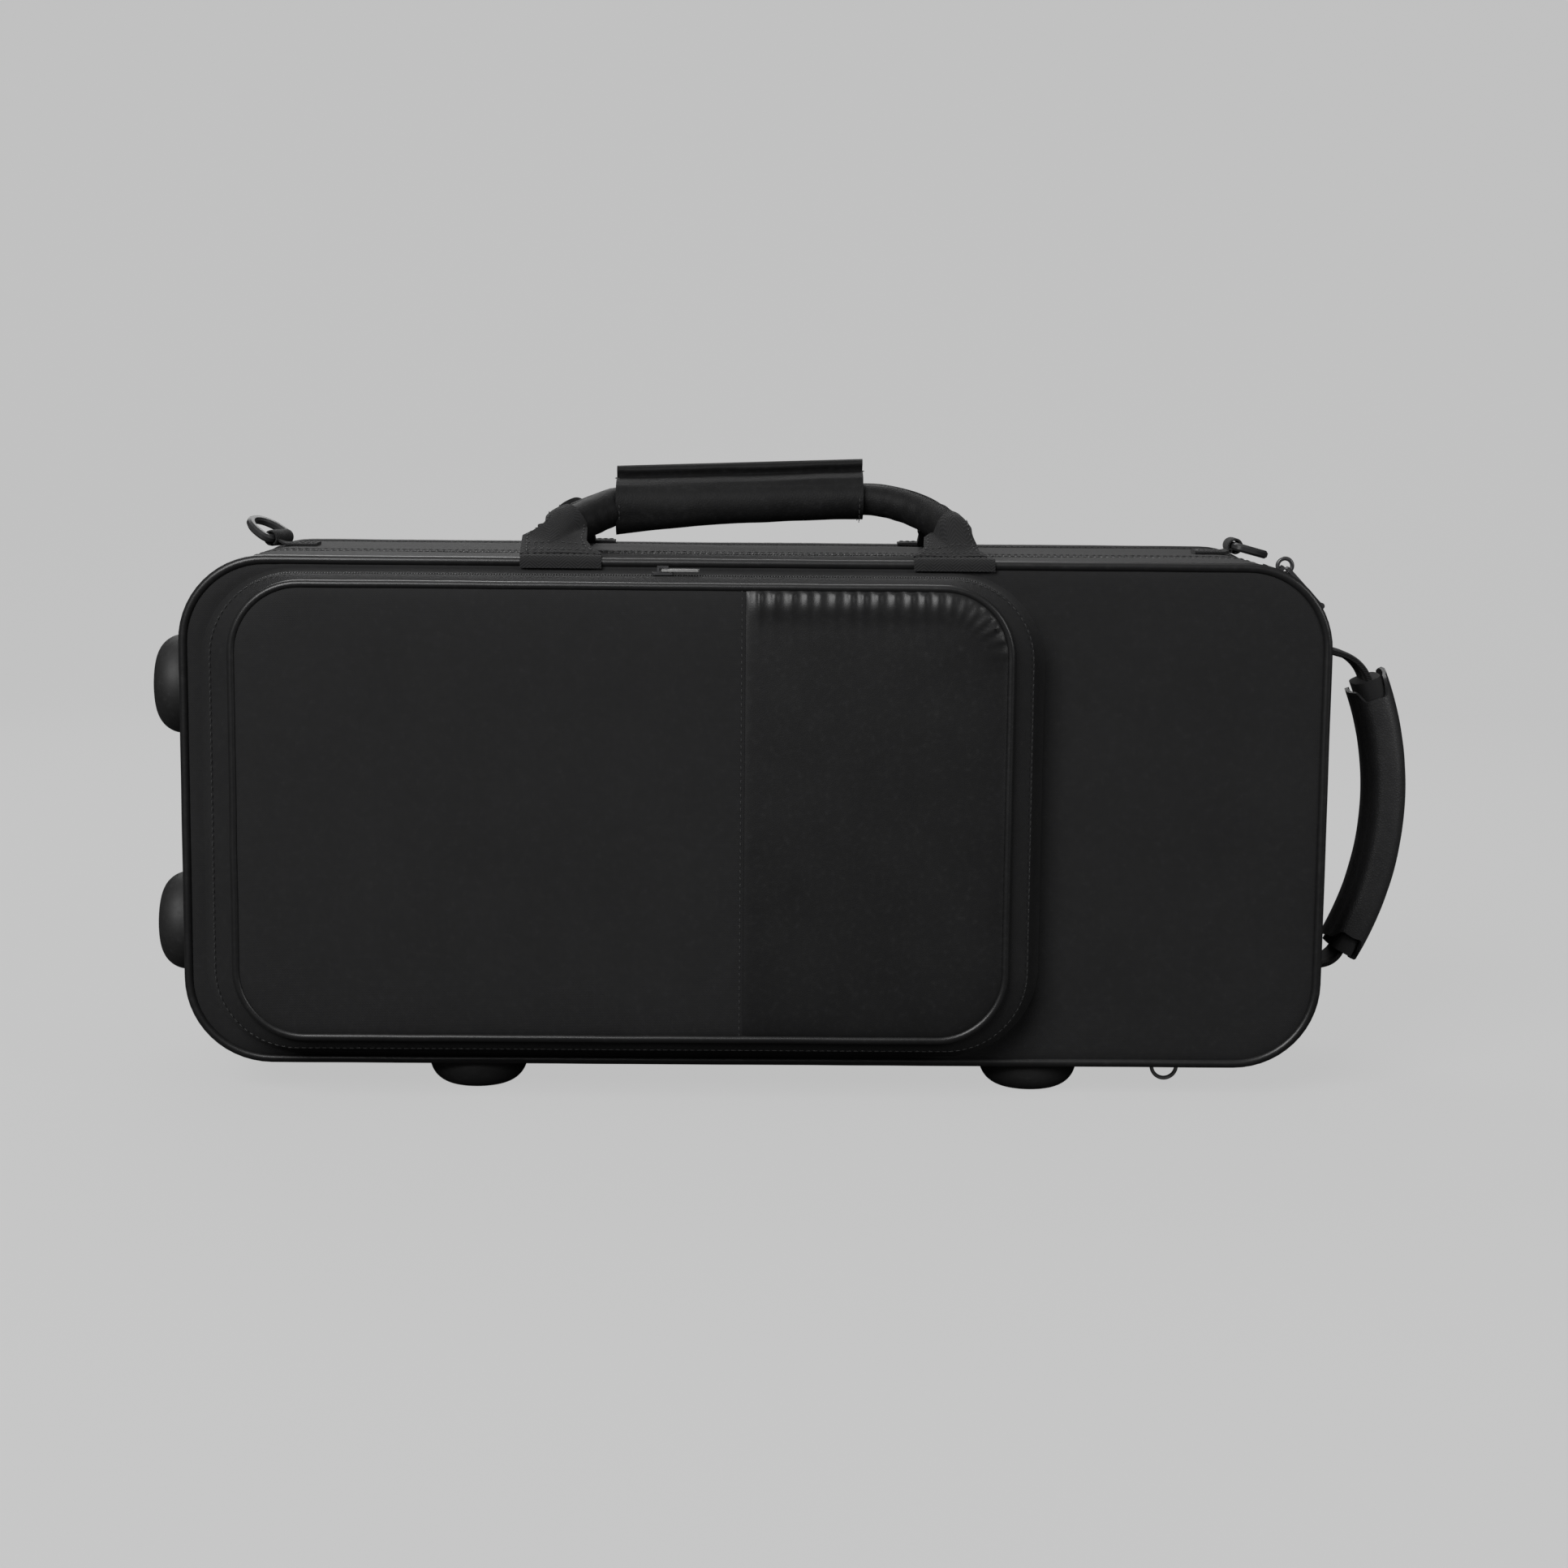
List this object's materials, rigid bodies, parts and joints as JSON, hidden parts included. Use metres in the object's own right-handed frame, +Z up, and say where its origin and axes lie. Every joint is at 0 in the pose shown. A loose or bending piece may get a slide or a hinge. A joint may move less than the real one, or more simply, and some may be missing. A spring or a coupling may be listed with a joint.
{
  "type": "trumpet case",
  "caption": "Soft zipped trumpet case with a padded lid on a fabric hinge, a front pocket, carrying handles, strap rings and a moulded plush bed.",
  "frame": {"origin": "on the floor under the middle of the overall box, with the case standing on its long side", "axes": "+X along the case towards the end handle, +Y towards its flat back so the pocket faces -Y, +Z up towards the carrying handles"},
  "size_m": [0.614, 0.1834, 0.3],
  "materials": {
    "cover_fabric": "dense black woven nylon",
    "smooth_fabric": "coated black cloth, semi matt",
    "piping": "black vinyl piping",
    "webbing": "black woven webbing",
    "padding_cover": "black padded vinyl, satin",
    "zip_tape": "woven black zip tape",
    "zip_coil": "black nylon coil",
    "black_metal": "black lacquered zinc",
    "light_metal": "bright plated",
    "black_plastic": "moulded black plastic",
    "foam": "grey closed-cell foam",
    "bed_plush": "foam under black plush",
    "plush": "black plush lining",
    "rubber": "matt black rubber",
    "screw": "black zinc plated"
  },
  "bodies": {
    "base": {"base_side_band": "cover_fabric", "base_back_panel": "cover_fabric", "base_piping": "piping", "base_foam_shell": "foam", "base_lining": "plush", "trumpet_bed": "bed_plush", "mouthpiece_holder": "bed_plush", "base_zip_tape": "zip_tape", "base_zip_coil": "zip_coil", "base_hinge_strip": "cover_fabric", "base_bottom_feet": "rubber", "base_end_feet": "rubber", "base_foot_screws": "screw", "rear_handle_tabs": "webbing", "top_ring_tabs": "webbing", "end_handle_patches": "webbing"},
    "accessory_lid": {"accessory_lid": "plush", "accessory_pull_tab": "webbing"},
    "lid": {"lid_side_band": "cover_fabric", "lid_front_panel": "cover_fabric", "lid_piping": "piping", "lid_foam_shell": "foam", "lid_lining": "plush", "lid_pad": "bed_plush", "lid_zip_tape": "zip_tape", "lid_zip_coil": "zip_coil", "lid_hinge_strip": "cover_fabric", "lid_bottom_feet": "rubber", "lid_end_feet": "rubber", "lid_foot_screws": "screw", "front_handle_tabs": "webbing", "lower_ring_tab": "webbing", "pocket_rear_gusset": "cover_fabric", "pocket_rear_zip_tape": "zip_tape", "pocket_rear_zip_coil": "zip_coil"},
    "pocket_flap": {"pocket_front_gusset": "cover_fabric", "pocket_front_zip_tape": "zip_tape", "pocket_front_zip_coil": "zip_coil", "pocket_front_panel": "cover_fabric", "pocket_smooth_panel": "smooth_fabric", "pocket_piping": "piping"},
    "pocket_slider": {"pocket_zip_slider": "black_metal"},
    "pocket_pull": {"pocket_zip_pull": "light_metal"},
    "main_slider": {"main_zip_slider": "black_metal"},
    "main_ring": {"main_pull_ring": "black_metal"},
    "main_tab": {"main_pull_tab": "black_metal"},
    "front_handle": {"front_handle_strap": "webbing", "front_handle_roll": "padding_cover", "front_grip_wrap": "padding_cover"},
    "rear_handle": {"rear_handle_strap": "webbing", "rear_handle_roll": "padding_cover", "rear_grip_wrap": "padding_cover"},
    "end_handle": {"end_handle_strap": "webbing", "end_grip_foam": "foam", "end_grip_cover": "padding_cover"},
    "left_ring": {"left_shoulder_ring": "black_plastic"},
    "right_ring": {"right_shoulder_ring": "black_plastic"},
    "lower_ring": {"lower_ring": "light_metal"}
  },
  "joints": [
    {"name": "lid_hinge", "type": "hinge", "parent": "base", "child": "lid", "pos_m": [-0.021, 0.00425, 0.016], "axis": [1, 0, 0], "range_deg": [0, 110]},
    {"name": "accessory_lid_hinge", "type": "hinge", "parent": "base", "child": "accessory_lid", "pos_m": [0.121, 0.01425, 0.0746], "axis": [-1, 0, 0], "range_deg": [0, 95]},
    {"name": "pocket_flap_hinge", "type": "hinge", "parent": "lid", "child": "pocket_flap", "pos_m": [-0.0833, -0.07475, 0.0263], "axis": [1, 0, 0], "range_deg": [0, 75]},
    {"name": "pocket_slider_slide", "type": "slide", "parent": "lid", "child": "pocket_slider", "axis": [1, 0, 0], "range_m": [-0.16, 0.125]},
    {"name": "pocket_pull_hinge", "type": "hinge", "parent": "pocket_slider", "child": "pocket_pull", "pos_m": [-0.065, -0.07475, 0.2524], "axis": [0, -1, 0], "range_deg": [0, 150]},
    {"name": "main_slider_travel", "type": "hinge", "parent": "base", "child": "main_slider", "pos_m": [0.209, 0.00425, 0.216], "axis": [0, 1, 0], "range_deg": [-27, 40]},
    {"name": "main_ring_hinge", "type": "hinge", "parent": "main_slider", "child": "main_ring", "pos_m": [0.23708, 0.00425, 0.2513], "axis": [0, 1, 0], "range_deg": [-30, 0]},
    {"name": "main_tab_hinge", "type": "hinge", "parent": "main_ring", "child": "main_tab", "pos_m": [0.23828, 0.00425, 0.25219], "axis": [0, 1, 0], "range_deg": [-100, 0]},
    {"name": "front_handle_hinge", "type": "hinge", "parent": "lid", "child": "front_handle", "pos_m": [-0.021, -0.0541, 0.25805], "axis": [1, 0, 0], "range_deg": [0, 80]},
    {"name": "rear_handle_hinge", "type": "hinge", "parent": "base", "child": "rear_handle", "pos_m": [-0.021, 0.0826, 0.25805], "axis": [-1, 0, 0], "range_deg": [0, 85]},
    {"name": "end_handle_hinge", "type": "hinge", "parent": "base", "child": "end_handle", "pos_m": [0.2578, 0.03125, 0.136], "axis": [0, 0, 1], "range_deg": [-50, 50]},
    {"name": "left_ring_hinge", "type": "hinge", "parent": "base", "child": "left_ring", "pos_m": [-0.26, 0.03725, 0.26013], "axis": [0.3746, 0.9272, 0], "range_deg": [-32, 123]},
    {"name": "right_ring_hinge", "type": "hinge", "parent": "base", "child": "right_ring", "pos_m": [0.218, 0.03725, 0.26013], "axis": [0, -1, 0], "range_deg": [-3, 170]},
    {"name": "lower_ring_hinge", "type": "hinge", "parent": "lid", "child": "lower_ring", "pos_m": [0.179, -0.03875, 0.01343], "axis": [1, 0, 0], "range_deg": [-80, 90]}
  ]
}
